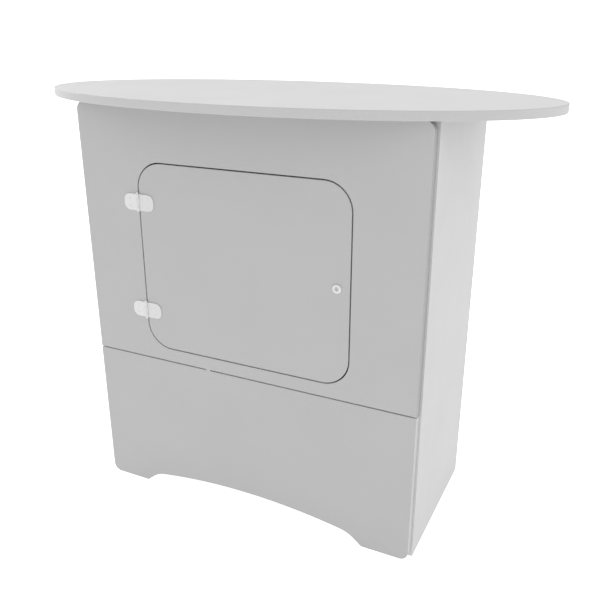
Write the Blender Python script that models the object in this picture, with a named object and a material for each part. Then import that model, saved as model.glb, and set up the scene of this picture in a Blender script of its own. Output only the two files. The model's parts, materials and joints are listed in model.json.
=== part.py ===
"""Oval-top counter with a lockable cabinet, modelled as its separate pieces.

Blender 4.5, metres, +Z up. The origin is on the floor under the middle of the counter.
-Y is the staff side with the access door, +Y the customer side, +X the staff's right.
"""

from math import atan2, cos, pi, radians, sin, sqrt

import bmesh
import bpy
from mathutils import Matrix, Vector

# ---------------------------------------------------------------- driving dimensions (metres)
MM = 0.001
GAP = 0.3 * MM  # kept between pieces that touch
INWARD = (0, 1, 0)  # from the staff side into the cabinet

TOP_LENGTH = 1200 * MM
TOP_WIDTH = 600 * MM
TOP_THICK = 18 * MM
TOP_EDGE = 1.5 * MM
TOP_SIDES = 120

TOTAL_HEIGHT = 972 * MM
FACE_WIDTH = 813 * MM
BODY_DEPTH = 415.5 * MM
PANEL_THICK = 19 * MM
PANEL_CORNER = 20 * MM

SIDE_THICK = 19 * MM
SIDE_OVERHANG = 5 * MM  # how far each side stands out past the face panels' ends
SIDE_EDGE = 1 * MM  # rounding of the side panels' edges

SEAM_HEIGHT = 360.8 * MM
SEAM_GAP = 3 * MM

ARCH_FOOT = 110 * MM  # length of each foot of an arched panel
ARCH_RISE = 51.4 * MM
ARCH_RADIUS = 1480 * MM
ARCH_SHOULDER = 70 * MM
ARCH_FLANK = radians(40)
ARCH_TOE = 10 * MM

DOOR_WIDTH = 507 * MM
DOOR_HEIGHT = 434 * MM
DOOR_GAP = 3 * MM
DOOR_CORNER = 59.5 * MM
DOOR_CENTRE_HEIGHT = 612.9 * MM

HINGE_SPREAD = 256 * MM  # from one hinge's middle to the other's
LEAF_REACH = 39 * MM  # from the pin's axis to the leaf's outer end
LEAF_HEIGHT = 37.5 * MM
LEAF_THICK = 2.5 * MM
LEAF_CORNER = 13 * MM
PIN_STANDOFF = 4.6 * MM  # pin axis in front of the face
PIN_RADIUS = 1.5 * MM
KNUCKLE_RADIUS = 3.5 * MM
KNUCKLE_CLEARANCE = 0.4 * MM
LEAF_ROOT_SHARE = 0.3  # of the knuckle's radius: where a leaf's plate starts, from the pin's axis
FINIAL_HEIGHT = 3.8 * MM
FINIAL_TURNS = (0, 0.5, 0.9, 1.25)  # radians round a finial's dome, from its rim
LEAF_SCREW_REACH = 23 * MM
LEAF_SCREW_SPREAD = 16 * MM

LOCK_INSET = 29.3 * MM  # from the door gap's middle to the lock's axis
LOCK_RIM_RADIUS = 10 * MM
LOCK_RIM_THICK = 2.5 * MM
LOCK_RIM_EDGE = 1.5 * MM  # rounding of the rim's front edge
LOCK_MOUTH_WIDE = 0.5 * MM  # chamfer round the plug's bore
LOCK_MOUTH_DEEP = 0.3 * MM
LOCK_BARREL_RADIUS = 8 * MM
PLUG_RADIUS = 3.9 * MM
PLUG_RECESS = 0.8 * MM
KEYWAY_WIDTH = 1.4 * MM
KEYWAY_HEIGHT = 5.2 * MM
KEYWAY_DEPTH = 6 * MM
NUT_ACROSS_FLATS = 20 * MM
NUT_THICK = 3 * MM
CAM_REACH = 40 * MM
CAM_THICK = 2 * MM
CAM_WIDTH = 14 * MM
CAM_SQUARE = 5 * MM
CAM_TIP_RADIUS = 3.5 * MM
CAM_TANG_ROOT = 2 * MM  # how far the square tang runs into the plug
CAM_SCREW_HEAD = 4.5 * MM
CAM_SCREW_CROWN = 3.15 * MM  # radius of the head's flat end
CAM_SCREW_HEAD_THICK = 2.4 * MM
CAM_SCREW_HEAD_EDGE = 0.8 * MM
CAM_SCREW_LENGTH = 7 * MM  # in front of the cam's rear face
CAM_SCREW_HOLE = 8 * MM

STRIKE_WIDTH = 24 * MM
STRIKE_HEIGHT = 44 * MM
STRIKE_THICK = 3 * MM
STRIKE_SETBACK = 2 * MM  # behind the opening's edge
STRIKE_SCREW_SPREAD = 28 * MM
STRIKE_SCREW_SHARE = 0.6  # of the plate's width, from the opening's side

STOP_WIDTH = 20 * MM
STOP_LENGTH = 90 * MM
STOP_THICK = 9 * MM
STOP_LAP = 8 * MM  # how far a stop strip reaches behind the door
STOP_SPREAD = 230 * MM

POST_SIDE = 25 * MM
RAIL_HEIGHT = 40 * MM
RAIL_DEPTH = 22 * MM
CLEAT_SIDE = 20 * MM
POST_LIFT = 6 * MM  # foot of the corner posts above the floor

SHELF_HEIGHT = 590 * MM  # top of the adjustable shelf
SHELF_THICK = 12.7 * MM
SHELF_POST_GAP = 0.7 * MM  # from the corner posts to the shelf's long edges
SHELF_END_GAP = 1.5 * MM
SHELF_PIN_RADIUS = 2.5 * MM
SHELF_PIN_LENGTH = 18 * MM
SHELF_PIN_DEPTH = 8 * MM
SHELF_PIN_SPREAD = 250 * MM
SHELF_HOLE_PITCH = 64 * MM
SHELF_HOLE_STEPS = (-1, 0, 1)

TOP_SCREW_SPREAD = 560 * MM
TOP_SCREW_RADIUS = 2.2 * MM
TOP_SCREW_HEAD = 4.5 * MM
TOP_SCREW_CROWN = 2.7 * MM  # height of the pan head
TOP_SCREW_SHOULDER = (3.6 * MM, 2.25 * MM)  # radius and height where its crown starts
TOP_SCREW_BITE = 13 * MM  # how far a top screw goes into the counter top

SEAM_DOWEL_X = 7 * MM
SEAM_DOWEL_RADIUS = 2.5 * MM
SEAM_DOWEL_LENGTH = 24 * MM
SEAM_SPACER_X = -95 * MM
SEAM_SPACER_WIDTH = 11 * MM

SMALL_SCREW_RADIUS = 1.5 * MM
SMALL_SCREW_HEAD = 3 * MM
SMALL_SCREW_LENGTH = 10 * MM
BORE_CLEARANCE = 0.25 * MM

# ---------------------------------------------------------------- places that follow from them
TOP_UNDERSIDE = TOTAL_HEIGHT - TOP_THICK
FACE = -BODY_DEPTH / 2  # y of the staff side's face
FACE_BACK = FACE + PANEL_THICK
HALF_FACE = FACE_WIDTH / 2
SIDE_OUTER = HALF_FACE + SIDE_OVERHANG
SIDE_INNER = SIDE_OUTER - SIDE_THICK
PANEL_TOP = TOP_UNDERSIDE - GAP
DOOR_EDGE = DOOR_WIDTH / 2
OPENING_EDGE = DOOR_EDGE + DOOR_GAP
PIN_X = -(DOOR_EDGE + DOOR_GAP / 2)
PIN_Y = FACE - PIN_STANDOFF
DOOR_PIVOT = (PIN_X, PIN_Y, DOOR_CENTRE_HEIGHT)
LOCK_X = DOOR_EDGE + DOOR_GAP / 2 - LOCK_INSET
LOCK_Z = DOOR_CENTRE_HEIGHT
SEAM_DOWEL_PLACE = (SEAM_DOWEL_X, (FACE + FACE_BACK) / 2, SEAM_HEIGHT)
NUT_BACK = FACE_BACK + GAP + NUT_THICK
BARREL_BACK = NUT_BACK + GAP
CAM_FRONT = BARREL_BACK + GAP
CAM_BACK = CAM_FRONT + CAM_THICK
FLOOR_TOP = SEAM_HEIGHT + PANEL_THICK / 2
FLOOR_BOTTOM = SEAM_HEIGHT - PANEL_THICK / 2
BOX_HALF_DEPTH = BODY_DEPTH / 2 - PANEL_THICK - GAP  # inner faces of the front and rear panels
BOX_HALF_WIDTH = SIDE_INNER - GAP
POST_INNER_X = BOX_HALF_WIDTH - POST_SIDE
POST_INNER_Y = BOX_HALF_DEPTH - POST_SIDE
SHELF_BOTTOM = SHELF_HEIGHT - SHELF_THICK
SHELF_PIN_Z = SHELF_BOTTOM - GAP - SHELF_PIN_RADIUS
HINGE_HEIGHTS = {
    "upper": DOOR_CENTRE_HEIGHT + HINGE_SPREAD / 2,
    "lower": DOOR_CENTRE_HEIGHT - HINGE_SPREAD / 2,
}

# ---------------------------------------------------------------- materials: colour, roughness, metallic
FINISHES = {
    "laminate": ((0.52, 0.52, 0.52), 0.55, 0.0),
    "laminate_side": ((0.62, 0.62, 0.62), 0.55, 0.0),
    "worktop": ((0.70, 0.70, 0.70), 0.45, 0.0),
    "inner_board": ((0.50, 0.49, 0.47), 0.7, 0.0),
    "hinge_plastic": ((0.80, 0.80, 0.80), 0.4, 0.0),
    "lock_metal": ((0.75, 0.75, 0.75), 0.3, 1.0),
    "steel": ((0.60, 0.60, 0.62), 0.35, 1.0),
    "soft_pad": ((0.75, 0.75, 0.75), 0.8, 0.0),
}


# ---------------------------------------------------------------- helpers
def clear_scene():
    for obj in list(bpy.data.objects):
        bpy.data.objects.remove(obj, do_unlink=True)


def material(name):
    found = bpy.data.materials.get(name)
    if found:
        return found
    colour, roughness, metallic = FINISHES[name]
    made = bpy.data.materials.new(name)
    made.use_nodes = True
    shader = made.node_tree.nodes["Principled BSDF"]
    shader.inputs["Base Color"].default_value = (*colour, 1)
    shader.inputs["Roughness"].default_value = roughness
    shader.inputs["Metallic"].default_value = metallic
    made.diffuse_color = (*colour, 1)
    return made


def object_from(name, mesh_builder, finish=None, at=(0, 0, 0)):
    """An object at a place, from a bmesh built round its own origin."""
    mesh = bpy.data.meshes.new(name)
    bmesh.ops.recalc_face_normals(mesh_builder, faces=mesh_builder.faces)
    mesh_builder.to_mesh(mesh)
    mesh_builder.free()
    obj = bpy.data.objects.new(name, mesh)
    obj.location = at
    bpy.context.scene.collection.objects.link(obj)
    if finish:
        mesh.materials.append(material(finish))
    return obj


def extruded(outline, low, high, axis="Y"):
    """A bmesh prism of a closed outline, drawn as (x, z) for axis Y or (x, y) for axis Z."""
    build = bmesh.new()

    def corner(point, level):
        if axis == "Y":
            return build.verts.new((point[0], level, point[1]))
        return build.verts.new((point[0], point[1], level))

    near = [corner(point, low) for point in outline]
    far = [corner(point, high) for point in outline]
    build.faces.new(near)
    build.faces.new(list(reversed(far)))
    for i in range(len(outline)):
        j = (i + 1) % len(outline)
        build.faces.new((near[j], near[i], far[i], far[j]))
    return build


def block(low, high):
    """A bmesh box between two corners."""
    size = Vector(high) - Vector(low)
    middle = (Vector(high) + Vector(low)) / 2
    build = bmesh.new()
    matrix = Matrix.Translation(middle) @ Matrix.Diagonal((*size, 1))
    bmesh.ops.create_cube(build, size=1, matrix=matrix)
    return build


def turned(profile, sides):
    """A bmesh turned about Z from (radius, z) points that start and end on the axis."""
    build = bmesh.new()
    rings = []
    for radius, z in profile:
        if radius == 0:
            rings.append([build.verts.new((0, 0, z))])
            continue
        turns = (2 * pi * i / sides for i in range(sides))
        rings.append([build.verts.new((radius * cos(t), radius * sin(t), z)) for t in turns])
    for lower, upper in zip(rings, rings[1:]):
        for i in range(sides):
            j = (i + 1) % sides
            ring = [lower[i % len(lower)], lower[j % len(lower)]]
            ring += [upper[j % len(upper)], upper[i % len(upper)]]
            build.faces.new(list(dict.fromkeys(ring)))
    return build


def ring(profile, sides):
    """A bmesh turned about Z from a closed (radius, z) loop that stays off the axis."""
    build = bmesh.new()
    loops = []
    for i in range(sides):
        turn = 2 * pi * i / sides
        loops.append([build.verts.new((r * cos(turn), r * sin(turn), z)) for r, z in profile])
    for i in range(sides):
        here, there = loops[i], loops[(i + 1) % sides]
        for j in range(len(profile)):
            k = (j + 1) % len(profile)
            build.faces.new((here[j], there[j], there[k], here[k]))
    return build


def arc(centre, radius, start, end, steps):
    """Points on an arc between two angles in radians, both ends included."""
    turns = (start + (end - start) * i / steps for i in range(steps + 1))
    return [(centre[0] + radius * cos(t), centre[1] + radius * sin(t)) for t in turns]


def rounded_rectangle(half_width, low, high, radii, steps=6):
    """Outline with its own radius at lower left, lower right, upper right and upper left."""
    lower = ((-half_width, low, pi), (half_width, low, 1.5 * pi))
    upper = ((half_width, high, 0), (-half_width, high, pi / 2))
    outline = []
    for (x, z, start), radius in zip(lower + upper, radii):
        if radius == 0:
            outline.append((x, z))
            continue
        centre = (x - radius if x > 0 else x + radius, z - radius if z == high else z + radius)
        outline += arc(centre, radius, start, start + pi / 2, steps)
    return outline


def boolean(obj, cutter_build, operation="DIFFERENCE"):
    """Cuts from, or joins to, an object, with a hidden helper that stays beside it."""
    helper = object_from(f"{obj.name}_helper", cutter_build)
    helper.hide_render = True
    helper.display_type = "WIRE"
    modifier = obj.modifiers.new(operation.title(), "BOOLEAN")
    modifier.operation = operation
    modifier.object = helper
    return helper


def shifted(build, offset):
    bmesh.ops.translate(build, vec=offset, verts=build.verts)
    return build


def joined(builds):
    """Several closed shapes that don't meet, as one cutter."""
    whole = bmesh.new()
    for build in builds:
        carried = bpy.data.meshes.new("carried")
        build.to_mesh(carried)
        build.free()
        whole.from_mesh(carried)
        bpy.data.meshes.remove(carried)
    return whole


def smooth(obj, angle=40):
    obj.data.shade_smooth()
    obj.data.set_sharp_from_angle(angle=radians(angle))


def shaft(radius, low, high, sides=12):
    return turned([(0, low), (radius, low), (radius, high), (0, high)], sides)


def pointed(build, direction):
    """Turns a piece made along +Z so that it runs along the direction."""
    turn = Vector((0, 0, 1)).rotation_difference(Vector(direction)).to_matrix()
    bmesh.ops.rotate(build, cent=(0, 0, 0), matrix=turn, verts=build.verts)
    return build


def small_screw(name, place, finish="steel", inward=INWARD):
    """A countersunk screw with its head's flat face at the place and its shank running inward."""
    head, shank, length = SMALL_SCREW_HEAD, SMALL_SCREW_RADIUS, SMALL_SCREW_LENGTH
    profile = [(0, 0), (head, 0), (shank, head - shank), (shank, length - shank), (0, length)]
    made = object_from(name, pointed(turned(profile, 12), inward), finish, place)
    smooth(made)
    return made


def small_screw_seat(place, thickness, inward=INWARD):
    """A cutter for a countersunk hole right through a plate of the given thickness."""
    wide, narrow = SMALL_SCREW_HEAD + BORE_CLEARANCE, SMALL_SCREW_RADIUS + BORE_CLEARANCE
    beyond = 2 * thickness
    profile = [(0, -MM), (wide, -MM), (wide, 0), (narrow, wide - narrow), (narrow, beyond), (0, beyond)]
    return shifted(pointed(turned(profile, 12), inward), place)


def carry(parent, parent_place, piece):
    """Parents a piece, whose place in the world stays as it was."""
    piece.parent = parent
    piece.location -= Vector(parent_place)


# ---------------------------------------------------------------- outlines
def arch_points():
    """The arch in the foot of a panel, from the right foot to the left one, as (x, z) points.

    A toe fillet leads from the floor up a straight flank, then a shoulder arc turns into
    the long shallow arc over the middle. Each arc is tangent to its neighbours.
    """
    crown = ARCH_RISE - ARCH_RADIUS
    foot_x = HALF_FACE - ARCH_FOOT
    along = Vector((-cos(ARCH_FLANK), sin(ARCH_FLANK)))
    inner = Vector((-sin(ARCH_FLANK), -cos(ARCH_FLANK)))  # from the flank to the shoulder's centre
    start = Vector((foot_x, 0)) + inner * ARCH_SHOULDER - Vector((0, crown))
    reach = ARCH_RADIUS - ARCH_SHOULDER
    half = start.dot(along)
    distance = -half + sqrt(half * half - start.length_squared + reach * reach)
    shoulder = start + along * distance
    meet = atan2(shoulder.y, shoulder.x)
    flank_normal = pi / 2 - ARCH_FLANK
    toe_run = ARCH_TOE * (1 - cos(ARCH_FLANK)) / sin(ARCH_FLANK)
    toe_centre = (foot_x + toe_run, ARCH_TOE)
    right = arc(toe_centre, ARCH_TOE, 1.5 * pi, 1.5 * pi - ARCH_FLANK, 4)
    right += arc((shoulder.x, shoulder.y + crown), ARCH_SHOULDER, flank_normal, meet, 6)
    right += arc((0, crown), ARCH_RADIUS, meet, pi / 2, 10)[1:]
    return right + [(-x, z) for x, z in reversed(right[:-1])]


def face_outline(low, high, arched, top_corner, bottom_corner):
    """A face panel's outline, going round from the lower left corner."""
    corners = (bottom_corner, bottom_corner, top_corner, top_corner)
    outline = rounded_rectangle(HALF_FACE, low, high, corners)
    if not arched:
        return outline
    corner_count = 7 if bottom_corner else 1
    arch = list(reversed(arch_points()))
    return outline[:corner_count] + arch + outline[corner_count:]


def door_outline(grow=0.0):
    low = DOOR_CENTRE_HEIGHT - DOOR_HEIGHT / 2 - grow
    high = DOOR_CENTRE_HEIGHT + DOOR_HEIGHT / 2 + grow
    return rounded_rectangle(DOOR_EDGE + grow, low, high, [DOOR_CORNER + grow] * 4, steps=10)


# ---------------------------------------------------------------- the carcass
def leaf_screw_places(side):
    """World places of the leaf screws' heads, for the frame leaves (-1) or the door leaves (+1)."""
    head_y = FACE - GAP - LEAF_THICK
    for hinge, height in HINGE_HEIGHTS.items():
        for place, lift in (("top", 0.5), ("bottom", -0.5)):
            z = height + lift * LEAF_SCREW_SPREAD
            yield hinge, place, Vector((PIN_X + side * LEAF_SCREW_REACH, head_y, z))


def pilot_holes(places, depth, inward=INWARD):
    """Blind holes for small screws, each from a little outside the surface to the given depth."""
    radius = SMALL_SCREW_RADIUS + BORE_CLEARANCE
    return [shifted(pointed(shaft(radius, -MM, depth), inward), place) for place in places]


def strike_screw_places():
    x = OPENING_EDGE + STRIKE_SETBACK + STRIKE_WIDTH * STRIKE_SCREW_SHARE
    y = FACE_BACK + GAP + STRIKE_THICK
    for name, lift in (("upper", 0.5), ("lower", -0.5)):
        yield name, Vector((x, y, LOCK_Z + lift * STRIKE_SCREW_SPREAD))


def seam_dowel_socket():
    """The hole across the seam for the dowel that lines up the two face panels."""
    half = SEAM_DOWEL_LENGTH / 2 + GAP
    return shifted(shaft(SEAM_DOWEL_RADIUS + BORE_CLEARANCE, -half, half), SEAM_DOWEL_PLACE)


def make_face_panels():
    outline = face_outline(SEAM_HEIGHT + SEAM_GAP / 2, PANEL_TOP, False, PANEL_CORNER, 0)
    upper = object_from("upper_panel", extruded(outline, FACE, FACE_BACK), "laminate")
    cuts = [extruded(door_outline(DOOR_GAP), FACE - MM, FACE_BACK + MM), seam_dowel_socket()]
    pilots = [place + Vector((0, LEAF_THICK + GAP, 0)) for _, _, place in leaf_screw_places(-1)]
    cuts += pilot_holes(pilots, SMALL_SCREW_LENGTH - LEAF_THICK)
    strikes = [place - Vector((0, STRIKE_THICK + GAP, 0)) for _, place in strike_screw_places()]
    cuts += pilot_holes(strikes, SMALL_SCREW_LENGTH - STRIKE_THICK, (0, -1, 0))
    boolean(upper, joined(cuts))

    outline = face_outline(0, SEAM_HEIGHT - SEAM_GAP / 2, True, 0, PANEL_CORNER)
    lower = object_from("lower_panel", extruded(outline, FACE, FACE_BACK), "laminate")
    boolean(lower, seam_dowel_socket())

    outline = face_outline(0, PANEL_TOP, True, PANEL_CORNER, PANEL_CORNER)
    object_from("customer_panel", extruded(outline, -FACE_BACK, -FACE), "laminate")

    half = SEAM_DOWEL_LENGTH / 2
    dowel = object_from("seam_dowel", shaft(SEAM_DOWEL_RADIUS, -half, half), "soft_pad", SEAM_DOWEL_PLACE)
    smooth(dowel)
    half_width, half_height = SEAM_SPACER_WIDTH / 2, SEAM_GAP / 2 - GAP
    low = (SEAM_SPACER_X - half_width, FACE, SEAM_HEIGHT - half_height)
    high = (SEAM_SPACER_X + half_width, FACE_BACK, SEAM_HEIGHT + half_height)
    object_from("seam_spacer", block(low, high), "soft_pad")


def shelf_hole_places():
    for end in (-0.5, 0.5):
        for step in SHELF_HOLE_STEPS:
            yield end * SHELF_PIN_SPREAD, SHELF_PIN_Z + step * SHELF_HOLE_PITCH


def make_sides():
    for name, side in (("left", -1), ("right", 1)):
        inner, outer = sorted((side * SIDE_INNER, side * SIDE_OUTER))
        board = block((inner, -BOX_HALF_DEPTH, 0), (outer, BOX_HALF_DEPTH, PANEL_TOP))
        panel = object_from(f"{name}_side_panel", board, "laminate_side")
        holes = []
        for y, z in shelf_hole_places():
            hole = shaft(SHELF_PIN_RADIUS + BORE_CLEARANCE, -MM, SHELF_PIN_DEPTH + GAP, 10)
            holes.append(shifted(pointed(hole, (side, 0, 0)), (side * SIDE_INNER, y, z)))
        rounding = panel.modifiers.new("Edge", "BEVEL")
        rounding.width = SIDE_EDGE
        rounding.segments = 2
        boolean(panel, joined(holes))
        smooth(panel)


def make_carcass():
    post_top = PANEL_TOP
    for depth_name, near in (("front", -1), ("rear", 1)):
        y_low, y_high = sorted((near * POST_INNER_Y, near * BOX_HALF_DEPTH))
        for side_name, side in (("left", -1), ("right", 1)):
            x_low, x_high = sorted((side * POST_INNER_X, side * BOX_HALF_WIDTH))
            name = f"corner_post_{depth_name}_{side_name}"
            object_from(name, block((x_low, y_low, POST_LIFT), (x_high, y_high, post_top)), "inner_board")
        make_top_rail(depth_name, near)

    for side_name, side in (("left", -1), ("right", 1)):
        x_low, x_high = sorted((side * (BOX_HALF_WIDTH - CLEAT_SIDE), side * BOX_HALF_WIDTH))
        reach = POST_INNER_Y - GAP
        cleat_top = FLOOR_BOTTOM - GAP
        cleat = block((x_low, -reach, cleat_top - CLEAT_SIDE), (x_high, reach, cleat_top))
        object_from(f"floor_cleat_{side_name}", cleat, "inner_board")

    notch_x = POST_INNER_X - GAP
    notch_y = POST_INNER_Y - GAP
    quarter = [(BOX_HALF_WIDTH, notch_y), (notch_x, notch_y), (notch_x, BOX_HALF_DEPTH)]
    outline = quarter + [(-x, y) for x, y in reversed(quarter)]
    outline += [(-x, -y) for x, y in quarter] + [(x, -y) for x, y in reversed(quarter)]
    object_from("cabinet_floor", extruded(outline, FLOOR_BOTTOM, FLOOR_TOP, "Z"), "inner_board")


def top_screw_places():
    for depth_name, near in (("front", -1), ("rear", 1)):
        for side_name, side in (("left", -0.5), ("right", 0.5)):
            y = near * (BOX_HALF_DEPTH - RAIL_DEPTH / 2)
            z = PANEL_TOP - RAIL_HEIGHT
            yield depth_name, side_name, Vector((side * TOP_SCREW_SPREAD, y, z))


def make_top_rail(depth_name, near):
    half = POST_INNER_X - GAP
    y_low, y_high = sorted((near * (BOX_HALF_DEPTH - RAIL_DEPTH), near * BOX_HALF_DEPTH))
    low = (-half, y_low, PANEL_TOP - RAIL_HEIGHT)
    rail = object_from(f"top_rail_{depth_name}", block(low, (half, y_high, PANEL_TOP)), "inner_board")
    holes = []
    for row, _, place in top_screw_places():
        if row == depth_name:
            hole = shaft(TOP_SCREW_RADIUS + BORE_CLEARANCE, -MM, RAIL_HEIGHT + MM)
            holes.append(shifted(hole, place))
    boolean(rail, joined(holes))


def make_top():
    """The oval worktop, with blind holes in its underside for the screws through the rails."""
    half_length, half_width = TOP_LENGTH / 2, TOP_WIDTH / 2
    turns = [2 * pi * i / TOP_SIDES for i in range(TOP_SIDES)]
    outline = [(half_length * cos(t), half_width * sin(t)) for t in turns]
    top = object_from("counter_top", extruded(outline, TOP_UNDERSIDE, TOTAL_HEIGHT, "Z"), "worktop")
    edge = top.modifiers.new("Edge", "BEVEL")
    edge.width = TOP_EDGE
    edge.segments = 2
    holes = []
    for _, _, place in top_screw_places():
        hole = shaft(TOP_SCREW_RADIUS + BORE_CLEARANCE, -MM, TOP_SCREW_BITE + GAP)
        holes.append(shifted(hole, (place.x, place.y, TOP_UNDERSIDE)))
    boolean(top, joined(holes))
    smooth(top)

    for depth_name, side_name, place in top_screw_places():
        length = RAIL_HEIGHT + 2 * GAP + TOP_SCREW_BITE
        shoulder, height = TOP_SCREW_SHOULDER
        profile = [(0, -TOP_SCREW_CROWN), (shoulder, -height), (TOP_SCREW_HEAD, -GAP)]
        shank, tip = TOP_SCREW_RADIUS, length - GAP
        profile += [(shank, -GAP), (shank, length - shank), (0, tip)]
        made = object_from(f"top_screw_{depth_name}_{side_name}", turned(profile, 12), "steel", place)
        smooth(made)


def make_shelf():
    half_x = SIDE_INNER - SHELF_END_GAP
    half_y = POST_INNER_Y - SHELF_POST_GAP
    low = (-half_x, -half_y, SHELF_BOTTOM)
    object_from("adjustable_shelf", block(low, (half_x, half_y, SHELF_HEIGHT)), "inner_board")
    for side_name, side in (("left", -1), ("right", 1)):
        for depth_name, end in (("front", -0.5), ("rear", 0.5)):
            build = shaft(SHELF_PIN_RADIUS, -SHELF_PIN_DEPTH, SHELF_PIN_LENGTH - SHELF_PIN_DEPTH, 10)
            pointed(build, (-side, 0, 0))
            place = (side * SIDE_INNER, end * SHELF_PIN_SPREAD, SHELF_PIN_Z)
            smooth(object_from(f"shelf_pin_{depth_name}_{side_name}", build, "steel", place))


# ---------------------------------------------------------------- the door and what is on it
def make_door():
    """The door's origin is on the hinge pins' axis, and all that swings with it is its child."""
    door = object_from("door_panel", extruded(door_outline(), FACE, FACE_BACK), "laminate")
    door.data.transform(Matrix.Translation(-Vector(DOOR_PIVOT)))
    door.location = DOOR_PIVOT
    pilots = [place + Vector((0, LEAF_THICK + GAP, 0)) for _, _, place in leaf_screw_places(1)]
    bore = pointed(shaft(LOCK_BARREL_RADIUS + GAP, FACE - MM, FACE_BACK + MM, 24), INWARD)
    cuts = pilot_holes(pilots, SMALL_SCREW_LENGTH - LEAF_THICK)
    cuts.append(shifted(bore, (LOCK_X, 0, LOCK_Z)))
    boolean(door, joined(cuts))
    return door


def leaf(name, side, hinge_z):
    """One hinge leaf: a plate on the panel with its share of the knuckles round the pin."""
    half_height = LEAF_HEIGHT / 2
    root = KNUCKLE_RADIUS * LEAF_ROOT_SHARE
    lower = arc((LEAF_REACH - LEAF_CORNER, LEAF_CORNER - half_height), LEAF_CORNER, 1.5 * pi, 2 * pi, 6)
    upper = [(x, -z) for x, z in reversed(lower)]
    outline = [(root, -half_height)] + lower + upper + [(root, half_height)]
    back = PIN_STANDOFF - GAP
    build = extruded([(side * x, z) for x, z in outline], back - LEAF_THICK, back)
    place = Vector((PIN_X, PIN_Y, hinge_z))
    made = object_from(name, build, "hinge_plastic", place)

    middle = LEAF_HEIGHT / 4  # the frame leaf's knuckles are the outer quarters, the door leaf's the rest
    beyond = half_height + MM
    inner, outer = middle - KNUCKLE_CLEARANCE / 2, middle + KNUCKLE_CLEARANCE / 2
    if side < 0:
        own, others = ((-half_height, -outer), (outer, half_height)), ((-middle, middle),)
    else:
        own, others = ((-inner, inner),), ((-beyond, -middle), (middle, beyond))
    for low, high in own:
        boolean(made, shifted(shaft(KNUCKLE_RADIUS, low, high, 20), place), "UNION")
    clearance = KNUCKLE_RADIUS + KNUCKLE_CLEARANCE
    boolean(made, joined([shifted(shaft(clearance, low, high, 20), place) for low, high in others]))
    bore = shaft(PIN_RADIUS + BORE_CLEARANCE, -beyond, beyond, 20)
    boolean(made, shifted(bore, place))
    return made


def make_hinges(door):
    for hinge, height in HINGE_HEIGHTS.items():
        leaves = {-1: leaf(f"{hinge}_hinge_frame_leaf", -1, height)}
        leaves[1] = leaf(f"{hinge}_hinge_door_leaf", 1, height)
        for side, made in leaves.items():
            places = [place for name, _, place in leaf_screw_places(side) if name == hinge]
            boolean(made, joined([small_screw_seat(place, LEAF_THICK) for place in places]))
            smooth(made)
        carry(door, DOOR_PIVOT, leaves[1])
        make_hinge_pin(hinge, height)
    for side, part in ((-1, "frame"), (1, "door")):
        for hinge, which, place in leaf_screw_places(side):
            made = small_screw(f"{hinge}_hinge_{part}_screw_{which}", place, "hinge_plastic")
            if side > 0:
                carry(door, DOOR_PIVOT, made)


def make_hinge_pin(hinge, height):
    """A pin with a domed cap on each end, which stand just clear of the knuckles."""
    half = LEAF_HEIGHT / 2 + GAP
    cap = [(KNUCKLE_RADIUS * cos(a), half + FINIAL_HEIGHT * sin(a)) for a in FINIAL_TURNS]
    profile = [(0, -half - FINIAL_HEIGHT)] + [(r, -z) for r, z in reversed(cap)]
    profile += [(PIN_RADIUS, -half), (PIN_RADIUS, half)] + cap + [(0, half + FINIAL_HEIGHT)]
    pin = object_from(f"{hinge}_hinge_pin", turned(profile, 20), "hinge_plastic", (PIN_X, PIN_Y, height))
    smooth(pin)


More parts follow.
